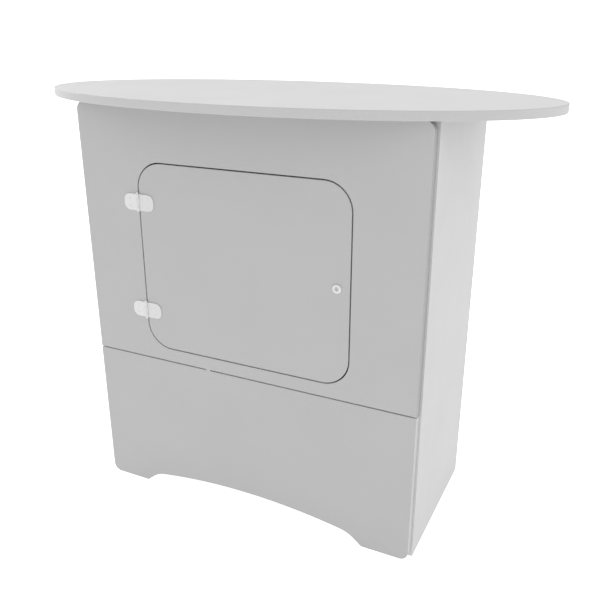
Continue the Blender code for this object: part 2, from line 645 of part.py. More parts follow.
def make_lock(door):
    """Cam lock. Body and nut stay with the door; plug, cam and cam screw turn together."""
    axis = Vector((LOCK_X, 0, LOCK_Z))
    rim = LOCK_RIM_RADIUS
    front = FACE - GAP - LOCK_RIM_THICK
    bore = PLUG_RADIUS + BORE_CLEARANCE
    mouth = [(bore, front + LOCK_MOUTH_DEEP), (bore + LOCK_MOUTH_WIDE, front)]
    profile = mouth + arc((rim - LOCK_RIM_EDGE, front + LOCK_RIM_EDGE), LOCK_RIM_EDGE, -pi / 2, 0, 2)
    profile += [
        (rim, FACE - GAP),
        (LOCK_BARREL_RADIUS, FACE - GAP),
        (LOCK_BARREL_RADIUS, BARREL_BACK),
        (bore, BARREL_BACK),
    ]
    body = object_from("lock_body", pointed(ring(profile, 28), INWARD), "lock_metal", axis)
    smooth(body)

    nut_outer = NUT_ACROSS_FLATS / 2 / cos(pi / 6)
    outline = arc((0, 0), nut_outer, 0, 2 * pi * 5 / 6, 5)
    nut = object_from("lock_nut", extruded(outline, FACE_BACK + GAP, NUT_BACK), "steel", axis)
    hole = pointed(shaft(LOCK_BARREL_RADIUS + BORE_CLEARANCE, FACE_BACK, NUT_BACK + MM, 28), INWARD)
    boolean(nut, shifted(hole, axis))

    plug_face = front + PLUG_RECESS
    plug_back = CAM_FRONT - GAP
    plug_profile = [(0, plug_face), (PLUG_RADIUS, plug_face), (PLUG_RADIUS, plug_back), (0, plug_back)]
    plug = object_from("lock_plug", pointed(turned(plug_profile, 24), INWARD), "lock_metal", axis)
    half = CAM_SQUARE / 2
    tang = block((-half, CAM_FRONT - CAM_TANG_ROOT, -half), (half, CAM_BACK - GAP, half))
    boolean(plug, shifted(tang, axis), "UNION")
    wide, tall = KEYWAY_WIDTH / 2, KEYWAY_HEIGHT / 2
    slot = block((-wide, plug_face - MM, -tall), (wide, plug_face + KEYWAY_DEPTH, tall))
    boolean(plug, shifted(slot, axis))
    thread = shaft(SMALL_SCREW_RADIUS + BORE_CLEARANCE, CAM_BACK - CAM_SCREW_HOLE, CAM_BACK + MM)
    boolean(plug, shifted(pointed(thread, INWARD), axis))
    smooth(plug)

    tip = arc((0, CAM_REACH - CAM_TIP_RADIUS), CAM_TIP_RADIUS, 0, pi, 6)
    hub = arc((0, 0), CAM_WIDTH / 2, pi, 2 * pi, 10)
    cam = object_from("lock_cam", extruded(tip + hub, CAM_FRONT, CAM_BACK), "steel", axis)
    edge = half + BORE_CLEARANCE
    boolean(cam, shifted(block((-edge, CAM_FRONT - MM, -edge), (edge, CAM_BACK + MM, edge)), axis))

    head_low, head_high = CAM_BACK + GAP, CAM_BACK + GAP + CAM_SCREW_HEAD_THICK
    shank, tip = SMALL_SCREW_RADIUS, CAM_BACK - CAM_SCREW_LENGTH
    profile = [(0, tip), (shank, tip), (shank, head_low), (CAM_SCREW_HEAD, head_low)]
    shoulder = head_high - CAM_SCREW_HEAD_EDGE
    profile += [(CAM_SCREW_HEAD, shoulder), (CAM_SCREW_CROWN, head_high), (0, head_high)]
    cam_screw = object_from("cam_screw", pointed(turned(profile, 14), INWARD), "steel", axis)
    smooth(cam_screw)
    for piece in (cam, cam_screw):
        carry(plug, axis, piece)
    for piece in (body, nut, plug):
        carry(door, DOOR_PIVOT, piece)


def make_strike_and_stops():
    left = OPENING_EDGE + STRIKE_SETBACK
    half = STRIKE_HEIGHT / 2
    low = (left, FACE_BACK + GAP, LOCK_Z - half)
    high = (left + STRIKE_WIDTH, FACE_BACK + GAP + STRIKE_THICK, LOCK_Z + half)
    strike = object_from("strike_plate", block(low, high), "steel")
    outward = (0, -1, 0)
    seats = [small_screw_seat(place, STRIKE_THICK, outward) for _, place in strike_screw_places()]
    boolean(strike, joined(seats))
    for name, place in strike_screw_places():
        small_screw(f"strike_screw_{name}", place, inward=outward)

    for name, lift in (("upper", 0.5), ("lower", -0.5)):
        middle = DOOR_CENTRE_HEIGHT + lift * STOP_SPREAD
        low = (DOOR_EDGE - STOP_LAP, FACE_BACK + GAP, middle - STOP_LENGTH / 2)
        high = (low[0] + STOP_WIDTH, low[1] + STOP_THICK, middle + STOP_LENGTH / 2)
        object_from(f"door_stop_{name}", block(low, high), "inner_board")


def main():
    clear_scene()
    make_face_panels()
    make_sides()
    make_carcass()
    make_top()
    make_shelf()
    door = make_door()
    make_hinges(door)
    make_lock(door)
    make_strike_and_stops()


main()
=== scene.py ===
"""Looks of the oval-top counter: softened boards, moulded hinges, a turned lock, and their finishes.

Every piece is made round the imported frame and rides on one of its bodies. Metres, +Z up.
"""

import json
from math import cos, pi, radians, sin

import bmesh
import bpy
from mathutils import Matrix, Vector


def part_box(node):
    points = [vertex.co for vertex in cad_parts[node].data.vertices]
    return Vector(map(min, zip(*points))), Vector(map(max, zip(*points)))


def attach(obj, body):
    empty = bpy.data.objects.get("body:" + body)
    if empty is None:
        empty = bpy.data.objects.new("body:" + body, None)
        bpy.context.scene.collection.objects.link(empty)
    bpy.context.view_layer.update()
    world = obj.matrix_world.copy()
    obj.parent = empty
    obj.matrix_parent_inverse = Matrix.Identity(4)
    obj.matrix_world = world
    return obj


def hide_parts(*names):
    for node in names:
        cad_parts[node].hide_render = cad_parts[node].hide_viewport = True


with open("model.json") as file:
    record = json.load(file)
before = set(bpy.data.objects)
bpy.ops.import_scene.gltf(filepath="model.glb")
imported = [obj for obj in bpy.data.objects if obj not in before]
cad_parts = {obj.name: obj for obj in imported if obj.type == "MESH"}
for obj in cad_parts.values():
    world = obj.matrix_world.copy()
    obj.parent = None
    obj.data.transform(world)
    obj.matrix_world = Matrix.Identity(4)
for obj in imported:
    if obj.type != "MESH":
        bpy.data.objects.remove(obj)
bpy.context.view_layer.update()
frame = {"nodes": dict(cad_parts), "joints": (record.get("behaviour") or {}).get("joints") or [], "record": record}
NODES = frame["nodes"]
MEMBERS = frame["record"]["behaviour"]["bodies"]
BODY_OF = {name: body for body, names in MEMBERS.items() for name in names}
AXES = {joint["name"]: Vector(joint["pos_m"]) for joint in frame["joints"]}
MM = 0.001

# ---------------------------------------------------------------- camera and light
CAMERA_PLACE = (0.7586, -1.4708, 1.1145)
CAMERA_DOWN = 21.0  # degrees below level
CAMERA_TURN = 26.0  # degrees to the left of straight ahead
CAMERA_VIEW = 45.0
HORIZON_LIGHT, ZENITH_LIGHT = 0.47, 0.90
BACKDROP = 1.05
FLOOR_REACH = 14.0
FLOOR_TONE = 0.72
FLOOR_GLOW = 0.41  # what the floor gives to the object
FLOOR_SEEN = 1.0  # what keeps the ground white in the picture
# each soft light: direction it comes from, strength, and the angle that it fills
SOFT_LIGHTS = {
    "soft_right": ((1.0, 0.30, 0.10), 0.56, 50),
    "soft_left": ((-1.0, 0.30, 0.38), 0.85, 50),
}

# ---------------------------------------------------------------- sizes of the detail
WELD = 0.001 * MM
FLAT = radians(0.5)
CREASE = radians(35)
SHORTEST_SOFTENED = 1.6 * MM  # shorter edges belong to pilot holes, and stay crisp
BOARD_EDGE = 0.4 * MM
BATTEN_EDGE = 0.9 * MM
TAB_EDGE = 0.3 * MM
END_MARGIN = 10 * MM  # further out than this from the door, an edge belongs to a panel's end
SIDE_EDGE = 1 * MM
SHELF_HOLE_PITCH = 64 * MM
SHELF_HOLE_RADIUS, SHELF_HOLE_DEPTH = 2.75 * MM, 8.3 * MM
HOLE_SIDES = 24
TOP_EDGE = 1.5 * MM
TOP_SIDES = 288
TURN_SIDES = 48
SLIVER = 0.03 * MM  # keeps two flat ends from lying in one plane

LEAF_FRONT, LEAF_BACK = 1.8 * MM, 4.3 * MM  # behind the pins' axis
LEAF_ROOT = 1.05 * MM
LEAF_REACH = {"frame": 38 * MM, "door": 40 * MM}
LEAF_CORNER = 15 * MM
LEAF_ROUNDING = 0.8 * MM
KNUCKLE_RADIUS = 3.5 * MM
KNUCKLE_ROUNDING = 0.35 * MM
KNUCKLE_SPLIT = 9.375 * MM  # the door's knuckle ends here, and the frame's start
KNUCKLE_GAP = 0.4 * MM
PIN_RADIUS = 1.5 * MM
PIN_BORE = 1.75 * MM
FINIAL_START, FINIAL_HEAD, FINIAL_TAIL = 19.05 * MM, 4.8 * MM, 2.6 * MM
LEAF_SCREW_REACH, LEAF_SCREW_LIFT = 23 * MM, 8 * MM

SCREW_SIDES = 32
SCREW_HEAD, SCREW_SHANK = 3 * MM, 1.5 * MM
SCREW_PITCH, SCREW_CREST = 1.1 * MM, 0.3 * MM
# each kind of head: its radius, its shank's radius, its recess as a share of it, and how deep
SCREW_HEADS = {
    "countersunk": (SCREW_HEAD, SCREW_SHANK, 0.55, 0.9 * MM),
    "pan": (4.5 * MM, 2.2 * MM, 0.5, 2.0 * MM),
    "cheese": (4.5 * MM, SCREW_SHANK, 0.5, 1.4 * MM),
}
RIM_DRAWN, RIM_DEEP = 0.2 * MM, 0.15 * MM  # the edge of a countersunk head
PAN_THICK, PAN_ARCH = 2.4 * MM, (35, 50, 65, 78, 90)  # degrees round from its flat crown
CHEESE_THICK, CHEESE_ROUNDING = 2.4 * MM, 0.8 * MM
RECESS_WEB, RECESS_TAPER = 0.28, 0.6  # half an arm's width to its length, and how it narrows
SEAT_ROOM, SEAT_END = 0.25 * MM, 5.2 * MM

RIM_RADIUS, RIM_FRONT = 10 * MM, -2.8 * MM  # heights in the lock count from the door's face
RIM_ROUNDING = 1.5 * MM
RIM_BACK = -0.3 * MM
FINE_EDGE = 0.2 * MM
# the rim's mouth: how much wider than the plug's bore, and how far behind the rim
MOUTH = ((0, 0.5 * MM), (0.15 * MM, 0.15 * MM), (0.5 * MM, 0))
LOCK_SIDES = 72
BARREL_RADIUS, BARREL_CHAMFER = 8 * MM, 0.8 * MM
THREAD_START, THREAD_PITCH, THREAD_DEPTH = 3 * MM, 1.0 * MM, 0.3 * MM
PLUG_RADIUS, PLUG_BORE, PLUG_FRONT, PLUG_EDGE = 3.9 * MM, 4.15 * MM, -2.0 * MM, 0.4 * MM
TANG_LENGTH, TANG_SIDE = 2 * MM, 5 * MM
KEYWAY = (1.1 * MM, 4.6 * MM, 4 * MM)
KEYWAY_CORNER = 0.3 * MM
CAM_REACH, CAM_TIP, CAM_HUB, CAM_EDGE = 40 * MM, 3.5 * MM, 7 * MM, 0.3 * MM
CAM_BORE_DEPTH = 8 * MM
NUT_FLATS, NUT_CROWN = 20 * MM, 9.6 * MM
NUT_SLOPE = 0.55  # how fast its chamfer falls away
STRIKE_CORNER, STRIKE_EDGE = 3 * MM, 0.5 * MM
PEG_ROUNDING, PEG_GROOVE = 0.5 * MM, 0.2 * MM
PEG_LIP, PEG_FLOOR = 0.6 * MM, 0.4 * MM  # half widths of the groove


# ---------------------------------------------------------------- shader helpers
def add_node(tree, kind, settings=None, **inputs):
    """A shader node. An input is given by its name, or by _ and its number, as a value or a socket."""
    made = tree.nodes.new(f"ShaderNode{kind}")
    for key, value in (settings or {}).items():
        setattr(made, key, value)
    for key, value in inputs.items():
        socket = made.inputs[int(key[1:])] if key[1:].isdigit() else made.inputs[key.replace("_", " ")]
        if isinstance(value, bpy.types.NodeSocket):
            tree.links.new(value, socket)
        else:
            socket.default_value = value
    return made


def maths(tree, operation, a, b=0.0):
    return add_node(tree, "Math", {"operation": operation}, _0=a, _1=b).outputs[0]


def blended(tree, a, b, share):
    """Two heights between 0 and 1, mixed so that b has the share."""
    return maths(tree, "ADD", maths(tree, "MULTIPLY", a, 1 - share), maths(tree, "MULTIPLY", b, share))


def blended_by(tree, share, a, b):
    """A number between two, each a number or a socket."""
    return add_node(tree, "Mix", _0=share, _2=a, _3=b).outputs[0]


def noise(tree, place, scale, detail=2.0, roughness=0.5):
    made = add_node(tree, "TexNoise", Vector=place, Scale=scale, Detail=detail, Roughness=roughness)
    return made.outputs["Fac"]


def cells(tree, place, scale):
    return add_node(tree, "TexVoronoi", Vector=place, Scale=scale).outputs["Distance"]


def stretched(tree, place, factors):
    return add_node(tree, "Mapping", Vector=place, Scale=factors).outputs[0]


def ranged(tree, value, low, high, to_low, to_high):
    inputs = {"Value": value, "From_Min": low, "From_Max": high, "To_Min": to_low, "To_Max": to_high}
    return add_node(tree, "MapRange", {"clamp": True}, **inputs).outputs[0]


def mixed(tree, share, first, second):
    """A colour between two, each a colour or a socket."""
    colours = [c if isinstance(c, bpy.types.NodeSocket) else (*c, 1) for c in (first, second)]
    made = add_node(tree, "Mix", {"data_type": "RGBA"}, _0=share, _6=colours[0], _7=colours[1])
    return made.outputs[2]


def grey(tone, warmth=0.0):
    return (tone * (1 + warmth), tone, tone * (1 - warmth))


def new_material(name, metallic=0.0):
    """A material with its Principled shader, and the object's own coordinates."""
    made = bpy.data.materials.new(name)
    made.use_nodes = True
    tree = made.node_tree
    shader = tree.nodes["Principled BSDF"]
    shader.inputs["Metallic"].default_value = metallic
    place = tree.nodes.new("ShaderNodeTexCoord").outputs["Object"]
    return made, tree, shader, place


def finished(made, tree, shader, colour, roughness, height, strength, depth):
    """Links a finish's colour, roughness and relief, and gives back its material."""
    tree.links.new(colour, shader.inputs["Base Color"])
    tree.links.new(roughness, shader.inputs["Roughness"])
    bump = add_node(tree, "Bump", Strength=strength, Distance=depth, Height=height)
    tree.links.new(bump.outputs[0], shader.inputs["Normal"])
    return made


# ---------------------------------------------------------------- finishes
def melamine(name, tone, roughness, scuffed=True):
    """Printed melamine facing: a fine pearl in relief, a faint cloud and speckle, dulled by handling."""
    made, tree, shader, place = new_material(name)
    cloud, speckle = noise(tree, place, 5.0, 3.0), noise(tree, place, 1100.0, 1.0)
    share = ranged(tree, blended(tree, cloud, speckle, 0.5), 0.38, 0.62, 0.0, 1.0)
    colour = mixed(tree, share, grey(tone * 0.984), grey(tone * 1.016))
    if scuffed:
        height = add_node(tree, "SeparateXYZ", Vector=place).outputs["Z"]
        low_down = ranged(tree, height, 0.0, 0.07, 1.0, 0.0)
        scuffs = ranged(tree, noise(tree, place, 38.0, 4.0, 0.7), 0.52, 0.72, 0.0, 0.5)
        colour = mixed(tree, maths(tree, "MULTIPLY", low_down, scuffs), colour, grey(tone * 0.88))
    dulled = ranged(tree, noise(tree, place, 14.0, 3.0, 0.6), 0.3, 0.7, *roughness)
    pearl = blended(tree, cells(tree, place, 520.0), speckle, 0.3)
    return finished(made, tree, shader, colour, dulled, pearl, 0.22, 0.05 * MM)


def edge_band(name, tone):
    """Plastic edging: smoother than the facing, with faint streaks from being drawn off a roll."""
    made, tree, shader, place = new_material(name)
    streak, speckle = noise(tree, place, 240.0, 3.0), noise(tree, place, 1600.0, 1.0)
    share = ranged(tree, blended(tree, streak, speckle, 0.5), 0.38, 0.62, 0.0, 1.0)
    colour = mixed(tree, share, grey(tone * 0.98), grey(tone * 1.02))
    rough = ranged(tree, streak, 0.3, 0.7, 0.34, 0.42)
    return finished(made, tree, shader, colour, rough, streak, 0.15, 0.03 * MM)


def raw_board(name, tone, along):
    """Unfaced board and battens: fibres along the length, pores and darker chips, quite matt."""
    made, tree, shader, place = new_material(name)
    factors = [1.0 if axis == along else 14.0 for axis in range(3)]
    fibre = noise(tree, stretched(tree, place, factors), 22.0, 5.0, 0.62)
    pores = noise(tree, place, 900.0, 2.0)
    share = ranged(tree, blended(tree, fibre, pores, 0.4), 0.36, 0.64, 0.0, 1.0)
    colour = mixed(tree, share, grey(tone * 0.90, 0.022), grey(tone * 1.07, 0.014))
    specks = ranged(tree, cells(tree, place, 260.0), 0.0, 0.22, 0.22, 0.0)
    colour = mixed(tree, specks, colour, grey(tone * 0.72, 0.03))
    rough = ranged(tree, pores, 0.3, 0.7, 0.66, 0.82)
    return finished(made, tree, shader, colour, rough, blended(tree, fibre, pores, 0.5), 0.35, 0.15 * MM)


def moulded(name, tone, roughness):
    """Moulded plastic with the fine spark-eroded grain of its mould."""
    made, tree, shader, place = new_material(name)
    grain, flow = noise(tree, place, 2600.0, 2.0), noise(tree, place, 90.0, 2.0)
    share = ranged(tree, flow, 0.35, 0.65, 0.0, 1.0)
    colour = mixed(tree, share, grey(tone * 0.985), grey(tone * 1.01))
    rough = ranged(tree, grain, 0.3, 0.7, roughness - 0.04, roughness + 0.05)
    return finished(made, tree, shader, colour, rough, grain, 0.2, 0.03 * MM)


def turned_metal(name, tone, centre):
    """Plated metal turned about an axis along Y: fine rings round the axis under a satin sheen."""
    made, tree, shader, place = new_material(name, metallic=1.0)
    offset = add_node(tree, "VectorMath", {"operation": "SUBTRACT"}, _0=place, _1=centre).outputs[0]
    across = add_node(tree, "VectorMath", {"operation": "MULTIPLY"}, _0=offset, _1=(1, 0, 1)).outputs[0]
    radius = add_node(tree, "VectorMath", {"operation": "LENGTH"}, _0=across).outputs["Value"]
    settings = {"noise_dimensions": "1D"}
    rings = add_node(tree, "TexNoise", settings, W=radius, Scale=5200.0, Detail=2.0).outputs["Fac"]
    haze = ranged(tree, noise(tree, place, 420.0, 3.0), 0.3, 0.7, 0.0, 1.0)
    colour = mixed(tree, haze, grey(tone * 0.96), grey(tone * 1.02))
    rough = ranged(tree, rings, 0.3, 0.7, 0.46, 0.58)
    return finished(made, tree, shader, colour, rough, rings, 0.12, 0.02 * MM)


def plated_steel(name, tone):
    """Bright zinc plate: a fine brushed lay, and the faint spangle of the plating."""
    made, tree, shader, place = new_material(name, metallic=1.0)
    lay = noise(tree, stretched(tree, place, (40, 40, 3)), 90.0, 3.0)
    spangle = cells(tree, place, 700.0)
    share = ranged(tree, blended(tree, lay, spangle, 0.3), 0.3, 0.7, 0.0, 1.0)
    colour = mixed(tree, share, grey(tone * 0.88), grey(tone * 1.06, -0.01))
    rough = ranged(tree, lay, 0.3, 0.7, 0.26, 0.42)
    return finished(made, tree, shader, colour, rough, lay, 0.15, 0.03 * MM)


FINISHES = {
    "facing": melamine("facing_melamine", 0.60, (0.42, 0.52)),
    # painted light: the side boards take a lighter copy of the facing melamine, standing for the stronger light on
    # the sides
    "lit_side_facing": melamine("side_melamine_painted_light", 0.69, (0.42, 0.52)),
    "worktop": melamine("worktop_laminate", 0.88, (0.34, 0.44), scuffed=False),
    "worktop_band": edge_band("worktop_edge_band", 0.655),
    # painted shade: the worktop's underside is dark, so that little light bounces down onto the panels beneath it
    "painted_shade_underside": melamine("worktop_underside_painted_shade", 0.345, (0.55, 0.65), scuffed=False),
    "light_band": edge_band("panel_edge_band", 0.66),
    # painted light: the opening's edges take a lighter band than the door's, standing for light reaching into the
    # gap
    "lit_opening_band": edge_band("opening_edge_band_painted_light", 0.66),
    # painted shade: the door's edges are darker than the other bands, so the gap round the door reads dark
    "shaded_door_band": edge_band("door_edge_band_painted_shade", 0.57),
    "nose_band": edge_band("side_edge_band", 0.74),
    # painted shade: the upper panel's end edges are dark, standing for the shade along its right end
    "painted_shade_band": edge_band("upper_panel_end_painted_shade", 0.43),
    "board_x": raw_board("inner_board_long_x", 0.50, 0),
    "board_y": raw_board("inner_board_long_y", 0.50, 1),
    "board_z": raw_board("inner_board_long_z", 0.50, 2),
    "nylon": moulded("hinge_nylon", 0.92, 0.36),
    # painted shade: the door's hinge leaves take a darker copy of the hinge nylon, standing for the shade on those
    # leaves
    "shaded_door_nylon": moulded("door_leaf_nylon_painted_shade", 0.87, 0.36),
    "spacer": moulded("spacer_plastic", 0.74, 0.5),
    "lock": turned_metal("lock_plating", 0.86, AXES["lock_turn"]),
    # painted shade: the plug is a darker copy of the lock's plating, standing for the shade in its recess
    "plug": turned_metal("plug_plating_painted_shade", 0.70, AXES["lock_turn"]),
    "steel": plated_steel("zinc_plate", 0.66),
}


# ---------------------------------------------------------------- mesh helpers
def shown(name, build, finishes, stands_for):
    """A piece made from a bmesh, with the finishes as its materials. It stands for a CAD node, which it hides, and
    rides with it.
    """
    mesh = bpy.data.meshes.new(name)
    build.to_mesh(mesh)
    build.free()
    for finish in finishes:
        mesh.materials.append(FINISHES[finish])
    mesh.shade_smooth()
    mesh.set_sharp_from_angle(angle=CREASE)
    piece = bpy.data.objects.new(name, mesh)
    bpy.context.scene.collection.objects.link(piece)
    normals = piece.modifiers.new("Normals", "WEIGHTED_NORMAL")
    normals.keep_sharp = True
    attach(piece, BODY_OF[stands_for])
    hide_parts(stands_for)
    return piece


def solid_of(name):
    """A CAD node's shape as a bmesh of whole flat faces."""
    source = NODES[name].data
    build = bmesh.new()
    points = [build.verts.new(vertex.co) for vertex in source.vertices]
    for polygon in source.polygons:
        build.faces.new([points[i] for i in polygon.vertices])
    bmesh.ops.remove_doubles(build, verts=build.verts, dist=WELD)
    bmesh.ops.dissolve_limit(build, angle_limit=FLAT, verts=build.verts, edges=build.edges)
    return build


def soften(build, edge, steps=3, shortest=SHORTEST_SOFTENED):
    """Rounds the sharp edges that are long enough."""
    sharp = [
        e
        for e in build.edges
        if len(e.link_faces) == 2 and e.calc_face_angle() > CREASE and e.calc_length() > shortest
    ]
    bmesh.ops.bevel(build, geom=sharp, offset=edge, segments=steps, profile=0.5, affect="EDGES")


def softened(name, finishes, edge, across=None, ends=None):
    """A board like its CAD node, with rounded edges.

    Faces square to the axis across take the first finish and narrow faces the second. Narrow faces
    beyond the span of another node along X, given as ends, take the third.
    """
    build = solid_of(name)
    soften(build, edge)
    if ends:
        near, far = (corner.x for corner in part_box(ends))
    for face in build.faces:
        if across is None or abs(face.normal[across]) > cos(FLAT):
            continue
        upright = abs(face.normal.z) < cos(CREASE)
        outside = ends and not near - END_MARGIN < face.calc_center_median().x < far + END_MARGIN
        face.material_index = 2 if outside and upright else 1
    return shown(f"{name}_look", build, finishes, name)


def outline_arc(centre, radius, start, end, steps):
    """Points of an arc in a plane, with its angles in degrees."""
    turns = (radians(start + (end - start) * i / steps) for i in range(steps + 1))
    return [Vector((centre[0] + radius * cos(t), centre[1] + radius * sin(t))) for t in turns]


def rounded_box(low, high, radii, steps=10):
    """A rectangle's outline, anticlockwise from its lower left, with a radius for each corner."""
    (left, bottom), (right, top) = low, high
    corners = ((left, bottom, 180), (right, bottom, 270), (right, top, 0), (left, top, 90))
    points = []
    for (x, z, start), radius in zip(corners, radii):
        centre = (x + radius if x == left else x - radius, z + radius if z == bottom else z - radius)
        points += outline_arc(centre, radius, start, start + 90, steps) if radius else [Vector((x, z))]
    return points


def inset(outline, depth):
    """An anticlockwise outline drawn in by the depth."""
    drawn = []
    for before, here, after in zip(outline[-1:] + outline[:-1], outline, outline[1:] + outline[:1]):
        along, onward = (here - before).normalized(), (after - here).normalized()
        outward = Vector((along.y, -along.x))
        corner = (outward + Vector((onward.y, -onward.x))).normalized()
        drawn.append(here - corner * depth / corner.dot(outward))
    return drawn


def quarter(radius, steps=4):
    """(drawn in, below the top) for each step round a quarter round, from the top face outwards."""
    turns = [pi / 2 * i / steps for i in range(steps + 1)]
    return [(radius * (1 - sin(t)), radius * (1 - cos(t))) for t in turns]


def lofted(loops):
    """A closed solid from loops of as many points each, with a flat face over each end."""
    build = bmesh.new()
    loops = [[build.verts.new(point) for point in loop] for loop in loops]
    build.faces.new(loops[0])
    build.faces.new(loops[-1][::-1])
    for here, there in zip(loops, loops[1:]):
        for i in range(len(here)):
            j = (i + 1) % len(here)
            build.faces.new((here[i], here[j], there[j], there[i]))
    bmesh.ops.recalc_face_normals(build, faces=build.faces)
    return build


def slab(outline, low, high, low_edge=0.0, high_edge=0.0, flat_along="Y"):
    """A plate between two levels, its outline drawn in round each edge."""
    layers = [(d, low + rise) for d, rise in quarter(low_edge)] if low_edge else [(0, low)]
    upper = [(d, high - drop) for d, drop in quarter(high_edge)] if high_edge else [(0, high)]
    loops = []
    for depth, level in layers + upper[::-1]:
        points = inset(outline, depth) if depth else outline
        if flat_along == "X":
            loops.append([(level, p.x, p.y) for p in points])
        else:
            loops.append([(p.x, level, p.y) for p in points])
    return lofted(loops)


def turned(profile, sides=TURN_SIDES):
    """A solid turned about Z from (radius, height) points. One that stays off the axis is a ring."""
    build = bmesh.new()
    rings = []
    for radius, height in profile:
        turns = [2 * pi * i / sides for i in range(sides if radius else 1)]
        rings.append([build.verts.new((radius * cos(t), radius * sin(t), height)) for t in turns])
    pairs = list(zip(rings, rings[1:]))
    if profile[0][0]:
        pairs.append((rings[-1], rings[0]))
    for here, there in pairs:
        for i in range(sides):
            j = (i + 1) % sides
            ends = [ring[k % len(ring)] for ring, k in ((here, i), (here, j), (there, j), (there, i))]
            build.faces.new(dict.fromkeys(ends))
    bmesh.ops.recalc_face_normals(build, faces=build.faces)
    return build


def pointed(build, direction):
    """Turns a solid so that its Z lies along the direction."""
    turn = Vector((0, 0, 1)).rotation_difference(Vector(direction)).to_matrix()
    bmesh.ops.rotate(build, cent=(0, 0, 0), matrix=turn, verts=build.verts)
    return build


def at(build, place):
    bmesh.ops.translate(build, vec=place, verts=build.verts)
    return build


def rod(radius, low, high, edge=0.0, sides=TURN_SIDES):
    rounding = quarter(edge, 3) if edge else [(0, 0)]
    lower = [(radius - drawn, low + rise) for drawn, rise in rounding]
    upper = [(radius - drawn, high - drop) for drawn, drop in reversed(rounding)]
    return turned([(0, low)] + lower + upper + [(0, high)], sides)


def carved(build, steps):
    """The solid after each step, an operation and its tool, in turn."""
    held = []
    for solid in [build] + [tool for _, tool in steps]:
        mesh = bpy.data.meshes.new("scratch")
        solid.to_mesh(mesh)
        solid.free()
        held.append(bpy.data.objects.new("scratch", mesh))
        bpy.context.scene.collection.objects.link(held[-1])
    for (operation, _), tool in zip(steps, held[1:]):
        modifier = held[0].modifiers.new("Carve", "BOOLEAN")
        modifier.operation, modifier.solver, modifier.object = operation, "EXACT", tool
    mesh = bpy.data.meshes.new_from_object(held[0].evaluated_get(bpy.context.evaluated_depsgraph_get()))
    result = bmesh.new()
    result.from_mesh(mesh)
    for used in [mesh] + [holder.data for holder in held]:
        bpy.data.meshes.remove(used)
    bmesh.ops.remove_doubles(result, verts=result.verts, dist=WELD)
    return result


# ---------------------------------------------------------------- the pieces
def make_top():
    """The worktop: an oval slab whose edge band is rounded into both faces."""
    low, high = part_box("counter_top")
    half_length, half_width = (high - low).xy / 2
    rounding = quarter(TOP_EDGE)
    profile = [(drawn, high.z - drop) for drawn, drop in rounding]
    profile += [(drawn, low.z + rise) for drawn, rise in reversed(rounding)]
    loops = []
    for drawn, z in profile:
        loop = []
        for i in range(TOP_SIDES):
            t = 2 * pi * i / TOP_SIDES
            outward = Vector((half_width * cos(t), half_length * sin(t))).normalized()
            x, y = Vector((half_length * cos(t), half_width * sin(t))) - outward * drawn
            loop.append((x, y, z))
        loops.append(loop)
    build = lofted(loops)
    build.normal_update()
    for face in build.faces:
        rise = face.normal.z
        # faces looking down take the dark underside finish: painted shade
        face.material_index = 0 if rise > cos(FLAT) else 2 if rise < -cos(FLAT) else 1
    shown("counter_top_look", build, ("worktop", "worktop_band", "painted_shade_underside"), "counter_top")


def make_side_panel(side):
    """A side board with eased edges, edge bands all round, and two rows of shelf-pin holes."""
    name = f"{side}_side_panel"
    low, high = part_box(name)
    outline = rounded_box(low.yz, high.yz, (SIDE_EDGE,) * 4, 4)
    inner = high.x if side == "left" else low.x
    deeper = (-1, 0, 0) if side == "left" else (1, 0, 0)
    steps = []
    for depth in ("front", "rear"):
        pin_low, pin_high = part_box(f"shelf_pin_{depth}_{side}")
        middle = (pin_low + pin_high) / 2
        for rise in (-SHELF_HOLE_PITCH, 0, SHELF_HOLE_PITCH):
            hole = pointed(rod(SHELF_HOLE_RADIUS, -MM, SHELF_HOLE_DEPTH, sides=HOLE_SIDES), deeper)
            steps.append(("DIFFERENCE", at(hole, (inner, middle.y, middle.z + rise))))
    board = carved(slab(outline, low.x, high.x, SIDE_EDGE, SIDE_EDGE, "X"), steps)
    for face in board.faces:
        face.material_index = 0 if abs(face.normal.x) > cos(FLAT) else 1
    # the side board's faces take the lighter melamine: painted light
    shown(f"{name}_look", board, ("lit_side_facing", "nose_band"), name)


def make_boards():
    # the upper panel's ends, beyond the door, take the dark band: painted shade
    finishes = ("facing", "lit_opening_band", "painted_shade_band")
    softened("upper_panel", finishes, BOARD_EDGE, across=1, ends="door_panel")
    for name in ("lower_panel", "customer_panel"):
        softened(name, ("facing", "light_band"), BOARD_EDGE, across=1)
    # the door's edges take the darker band: painted shade in the gap
    softened("door_panel", ("facing", "shaded_door_band"), BOARD_EDGE, across=1)
    for side in ("left", "right"):
        make_side_panel(side)
    make_top()
    for name in NODES:
        if name.startswith(("top_rail", "adjustable_shelf", "cabinet_floor")):
            softened(name, ("board_x",), BATTEN_EDGE)
        elif name.startswith("floor_cleat"):
            softened(name, ("board_y",), BATTEN_EDGE)
        elif name.startswith(("corner_post", "door_stop")):
            softened(name, ("board_z",), BATTEN_EDGE)


def screw_seat(into):
    """The countersunk hole for a screw, from just in front of a plate to well behind it."""
    wide, narrow = SCREW_HEAD + SEAT_ROOM, SCREW_SHANK + SEAT_ROOM
    taper = [(wide, SLIVER), (narrow, SLIVER + wide - narrow)]
    profile = [(0, -MM), (wide, -MM)] + taper + [(narrow, SEAT_END), (0, SEAT_END)]
    return pointed(turned(profile), into)


